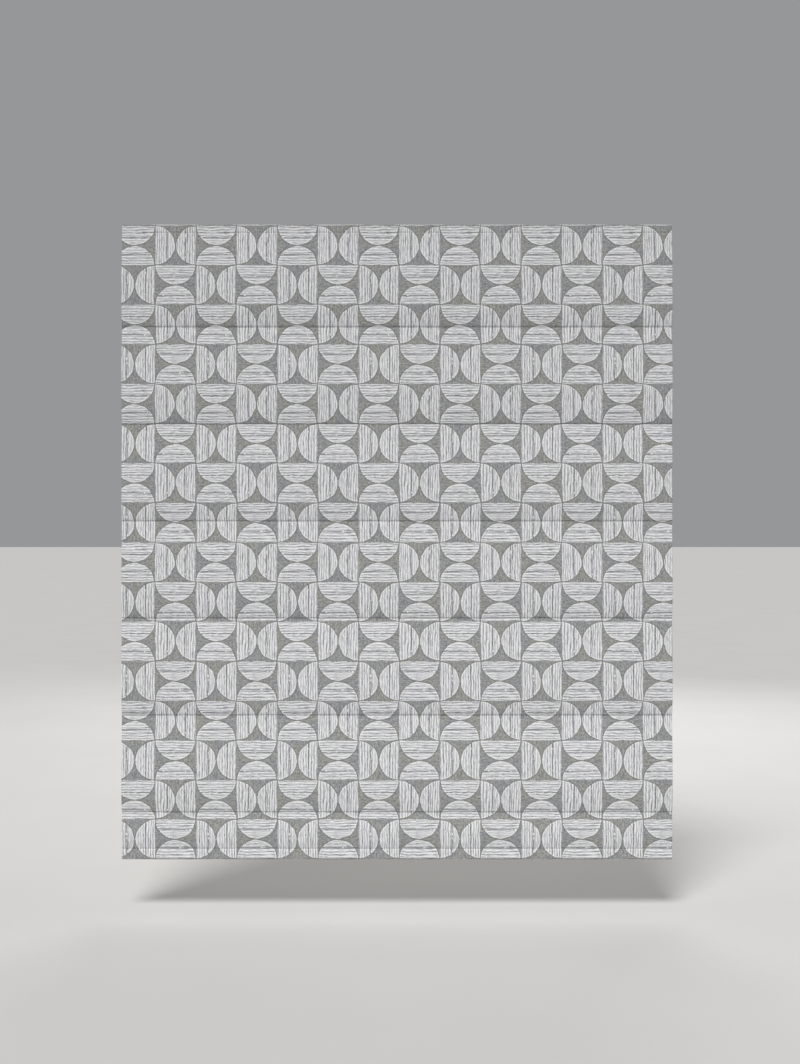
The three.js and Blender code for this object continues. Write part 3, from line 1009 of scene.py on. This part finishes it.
def cord_rings(band):
    """One ring for each lift cord, tied to the back of the pocket with a few turns of thread."""
    z, back = rod_place(band)
    tie_y = (back + TAPE_THICKNESS - 0.5 * MM + CORD_Y - RING_RADIUS) / 2
    body = f"rod_line_{band}"
    rings, ties = [], []
    turn = np.linspace(0, math.tau, 41)
    arch = np.linspace(0, math.tau, 21)
    for side in SIDES:
        centre = np.array([CORD_X[side], CORD_Y, z])
        circle = np.stack([np.cos(turn), np.sin(turn), 0 * turn], -1) * RING_RADIUS + centre
        ring = tube_rings(circle, RING_WIRE, 10)[:-1]
        ring[..., 2] = z + (ring[..., 2] - z) * RING_STRETCH
        rings.append(skin(f"ring_{side}_{band}", ring, "white_plastic", body, closed=True))
        for n in range(TIE_TURNS):
            x = CORD_X[side] + (n - TIE_TURNS // 2) * TIE_PITCH
            loop = np.stack([np.full(len(arch), x), tie_y + TIE_DEPTH * np.cos(arch),
                             z + TIE_HEIGHT * np.sin(arch)], -1)
            name = f"tie_{side}_{band}_{n}"
            ties.append(ring_of(name, loop, TIE_THREAD, 6, "ivory_thread", body))
    joined(f"cord_rings_{band}", rings)
    joined(f"ring_ties_{band}", ties)


CORD_RADIUS = extent("lift_cord_middle")[0] / 2
SPOOL_RADIUS = abs(SHAFT.y - CORD_Y) - CORD_RADIUS - 0.3 * MM
CORD_TOP = SHAFT.z
CORD_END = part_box("lift_cord_middle")[0].z
SPARE_TURNS = 3  # turns of cord that stay on each spool when the blind is down
TURN_PITCH = 2.1 * CORD_RADIUS
KNOT_SIZE = 0.62 * MM
KNOT_STRETCH = 1.25
KNOT_DROP = 2.2 * MM
TAIL_LENGTH = 14 * MM


def lift_cord(side):
    """The hanging cord, its turns on the spool, and its knot with a tail below the lowest ring."""
    x = CORD_X[side]
    path = np.array([(x, CORD_Y, z) for z in np.linspace(CORD_TOP, CORD_END, 60)])
    cord = tube(f"braided_cord_{side}", path, CORD_RADIUS, "cord", "root")
    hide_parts(f"lift_cord_{side}")
    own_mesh(cord)

    turns = np.linspace(0, math.tau * SPARE_TURNS, 30 * SPARE_TURNS)
    reach = SPOOL_RADIUS + CORD_RADIUS + 0.1 * MM
    wound = np.stack([x - TURN_PITCH * turns / math.tau, SHAFT.y - reach * np.cos(turns),
                      SHAFT.z + reach * np.sin(turns)], -1)
    tube(f"cord_turns_{side}", wound, CORD_RADIUS, "cord", "shaft", 8)

    turn = np.linspace(0, math.tau, 49)
    trefoil = np.stack([np.sin(turn) + 2 * np.sin(2 * turn), np.cos(turn) - 2 * np.cos(2 * turn),
                        -KNOT_STRETCH * np.sin(3 * turn)], -1)
    knot = KNOT_SIZE * trefoil + (x, CORD_Y, CORD_END - KNOT_DROP)
    knotted = ring_of(f"knot_{side}", knot, 0.85 * CORD_RADIUS, 8, "ivory_thread", "rod_line_6")
    drop = np.linspace(0, 1, 14)
    tail = np.stack([x + 1.2 * MM * np.sin(2.2 * drop), CORD_Y + 0.8 * MM * drop ** 2,
                     CORD_END - 2.5 * MM - TAIL_LENGTH * drop], -1)
    end = tube(f"tail_{side}", tail, 0.95 * CORD_RADIUS, "ivory_thread", "rod_line_6", 8)
    joined(f"cord_knot_{side}", [knotted, end])


for band in BANDS:
    pocket_tape(band)
    cord_rings(band)
for side in SIDES:
    lift_cord(side)


# ---------- tapes behind the header ----------
TAPE_LOW, TAPE_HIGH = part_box("hook_tape")
TAPE_GAP = 0.1 * MM
HEADER_BACK = CLOTH_FRONT + HEADER_DEPTH
LOOP_BACK = (HEADER_BACK + TAPE_HIGH.y) / 2


def tape_strip(name, front, back, key, roughness):
    """A flat tape with rounded long edges and a slightly uneven pile on its faces."""
    x = np.linspace(-TAPE_HIGH.x, TAPE_HIGH.x, 140)
    bottom, top = TAPE_LOW.z, TAPE_HIGH.z
    radius = (back - front) / 2
    middle = (front + back) / 2
    heights = np.linspace(top - radius, bottom + radius, 9)
    front_side = profile(front, heights)
    under = arc(middle, bottom + radius, radius, 0, -180, 7)[1:-1]
    back_side = profile(back, heights[::-1])
    over = arc(middle, top - radius, radius, 180, 0, 7)[1:-1]
    rings, flat = along_x(np.concatenate([front_side, under, back_side, over]), x)
    random = np.random.default_rng(len(name))
    rings[..., 1] += random.uniform(-roughness, roughness, rings.shape[:2])
    return skin(name, rings, key, "root", flat)


tape_strip("loop_tape", HEADER_BACK + TAPE_GAP, LOOP_BACK, "tape", 0.06 * MM)
hooks = tape_strip("hook_tape_strip", LOOP_BACK + TAPE_GAP, TAPE_HIGH.y, "hook", 0.04 * MM)
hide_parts("hook_tape")


# ---------- spring motor and fixings ----------
SPRING_THICKNESS = 0.18 * MM
SPRING_HALF = 17 * MM  # half the strip's width
SPRING_PITCH = 1.5 * SPRING_THICKNESS  # from one turn to the next
OUTPUT_RADIUS = 6.6 * MM
OUTPUT_WOUND = 1.35 * MM  # how thick the strip's turns lie on the drum, with the crossing's own room
STORAGE_RADIUS = 4.1 * MM
STORAGE_WOUND = 1.05 * MM


def spring_strip(name, line, x, body):
    """Spring strip along a (y, z) line."""
    half = path_normals(line) * SPRING_THICKNESS / 2
    rings = np.zeros((len(line), 4, 3))
    rings[..., 0] = x + SPRING_HALF * np.array([-1, 1, 1, -1])
    rings[..., 1:] = line[:, None] + half[:, None] * np.array([-1, -1, 1, 1])[:, None]
    split_edges(skin(name, rings, "spring", body), 50)


def spring_coil(name, centre_y, inner, turns, x, body):
    """Spring strip wound on a drum."""
    angles = np.linspace(0, math.tau * turns, 36 * turns)
    radii = inner + SPRING_PITCH * angles / math.tau
    line = profile(centre_y + radii * np.cos(angles), SHAFT.z + radii * np.sin(angles))
    spring_strip(name, line, x, body)


def spring_motor():
    x = middle_of("motor_output_drum")[0]
    storage = hinge("storage_drum_turn")
    spring_coil("spring_on_output_drum", SHAFT.y, OUTPUT_RADIUS, 4, x, "shaft")
    spring_coil("spring_on_storage_drum", storage.y, STORAGE_RADIUS, 3, x, "storage_drum")
    top, foot = OUTPUT_RADIUS + OUTPUT_WOUND, STORAGE_RADIUS + STORAGE_WOUND
    lean = math.acos((top + foot) / (storage.y - SHAFT.y))
    start = np.array([SHAFT.y + top * math.cos(lean), SHAFT.z + top * math.sin(lean)])
    end = np.array([storage.y - foot * math.cos(lean), storage.z - foot * math.sin(lean)])
    spring_strip("spring_crossing", np.linspace(start, end, 8), x, "root")


spring_motor()


PLATE_UNDERSIDE = -2 * MM
SCREW_SPACING = 18 * MM
HEAD_RADIUS = 3.7 * MM
HEAD_HEIGHT = 2.1 * MM
SHANK_RADIUS = 1.9 * MM
RECESS_ARM = 0.42 * MM  # half the width of each arm of the cross
RECESS_REACH = 2.0 * MM
RECESS_DEPTH = 1.0 * MM


def screw(name, x):
    """A pan head screw with a cross recess, its head under the bracket's plate."""
    angles = np.linspace(0, math.tau, 48, endpoint=False)
    circle = np.stack([np.cos(angles), np.sin(angles)], -1)

    def ring(radius, z):
        return np.column_stack([circle * radius + (x, 0), np.broadcast_to(z, len(angles))])

    rings = []
    for share in np.linspace(0, 1, 13)[1:]:
        crown = HEAD_HEIGHT * math.sqrt(1 - 0.72 * share ** 3)
        off = abs(circle * HEAD_RADIUS * share)
        arm = (off.min(1) < RECESS_ARM) & (off.max(1) < RECESS_REACH)
        rings.append(ring(HEAD_RADIUS * share, PLATE_UNDERSIDE - crown + np.where(arm, RECESS_DEPTH, 0)))
    for radius, z in ((HEAD_RADIUS, PLATE_UNDERSIDE - 0.05 * MM), (SHANK_RADIUS, PLATE_UNDERSIDE - 0.05 * MM),
                      (SHANK_RADIUS, -0.02 * MM)):
        rings.append(ring(radius, z))
    piece = skin(name, rings, "steel", "root")
    split_edges(piece, 40)
    return piece


for side in SIDES:
    middle = middle_of(f"bracket_{side}")[0]
    screws = [screw(f"screw_{side}_{n}", middle + n * SCREW_SPACING / 2) for n in (-1, 1)]
    joined(f"bracket_screws_{side}", screws)


# ---------- finishes on the frame's own nodes ----------
def finish_node(node, key, bevel=0.25 * MM):
    """Gives a frame node its material, soft edges and smooth round faces."""
    piece = frame["nodes"][node]
    piece.data.materials.clear()
    piece.data.materials.append(MATERIALS[key])
    piece.data.shade_smooth()
    weld = piece.modifiers.new("weld", "WELD")
    weld.merge_threshold = 0.01 * MM
    edge = piece.modifiers.new("bevel", "BEVEL")
    edge.width = bevel
    edge.segments = 2
    edge.angle_limit = math.radians(40)
    split_edges(piece, 35)
    piece.modifiers.new("normals", "WEIGHTED_NORMAL")


finish_node("headrail", "rail", 0.2 * MM)
finish_node("end_cap_left", "white_plastic")
finish_node("end_cap_right", "white_plastic")
finish_node("motor_case", "grey_plastic")
finish_node("drive_shaft", "steel", 0.4 * MM)
finish_node("motor_output_drum", "white_plastic", 0.2 * MM)
finish_node("motor_storage_drum", "white_plastic", 0.2 * MM)
finish_node("bottom_bar", "aluminium", 0.4 * MM)
for side in SIDES:
    finish_node(f"bracket_{side}", "steel", 0.2 * MM)
    finish_node(f"cradle_{side}", "white_plastic")
    finish_node(f"spool_{side}", "grey_plastic", 0.2 * MM)
for band in BANDS:
    finish_node(f"rod_{band}", "glass_fibre", 0.15 * MM)


# ---------- stage, light and camera ----------
FLOOR_DROP = 0.10
CAMERA_DISTANCE = 2.5
CAMERA_X = 0.006
CAMERA_Z = -0.616
LENS = 42.3


def floor():
    size = 60.0
    z = CLOTH_BOTTOM - FLOOR_DROP
    corners = [(-size, -size, z), (size, -size, z), (size, size, z), (-size, size, z)]
    piece = new_piece("studio_floor", corners, [(0, 1, 2, 3)], ("floor",))
    piece.visible_diffuse = False
    piece.visible_shadow = False
    return piece


def add_lamp(name, kind, aim, power):
    """A lamp that shines along aim."""
    lamp = bpy.data.objects.new(name, bpy.data.lights.new(name, kind))
    lamp.data.energy = power
    lamp.rotation_mode = "QUATERNION"
    lamp.rotation_quaternion = Vector(aim).to_track_quat("-Z", "Y")
    bpy.context.scene.collection.objects.link(lamp)
    return lamp


def area_light(name, place, target, size, power):
    lamp = add_lamp(name, "AREA", Vector(target) - Vector(place), power)
    lamp.data.shape = "RECTANGLE"
    lamp.data.size, lamp.data.size_y = size
    lamp.location = place
    lamp.visible_camera = False
    return lamp


def keep_off(lamp, piece):
    """Stops a lamp from lighting one piece."""
    receivers = bpy.data.collections.new(f"{lamp.name}_receivers")
    receivers.objects.link(piece)
    receivers.collection_objects[0].light_linking.link_state = "EXCLUDE"
    lamp.light_linking.receiver_collection = receivers


def lights(ground):
    world = bpy.data.worlds.new("studio")
    world.use_nodes = True
    background = world.node_tree.nodes["Background"]
    background.inputs["Color"].default_value = (0.96, 0.97, 1.0, 1.0)
    background.inputs["Strength"].default_value = 0.32
    bpy.context.scene.world = world
    add_lamp("key", "SUN", (0.2, 0.60, -1.0), 2.2).data.angle = math.radians(22)
    low_fill = area_light("low_fill", (0.0, -1.7, -1.25), target=(0, 0, -1.15), size=(2.2, 0.3), power=9.6)
    keep_off(low_fill, ground)
    area_light("back_fill", (0.6, 3.0, 1.0), target=(0, 0, -0.6), size=(2.5, 2.0), power=40)


def camera():
    data = bpy.data.cameras.new("camera")
    data.lens = LENS
    view = bpy.data.objects.new("camera", data)
    view.location = (CAMERA_X, CLOTH_FRONT - CAMERA_DISTANCE, CAMERA_Z)
    view.rotation_euler = (math.pi / 2, 0, 0)
    bpy.context.scene.collection.objects.link(view)
    bpy.context.scene.camera = view


lights(floor())
camera()
bpy.context.scene.view_settings.view_transform = "Standard"
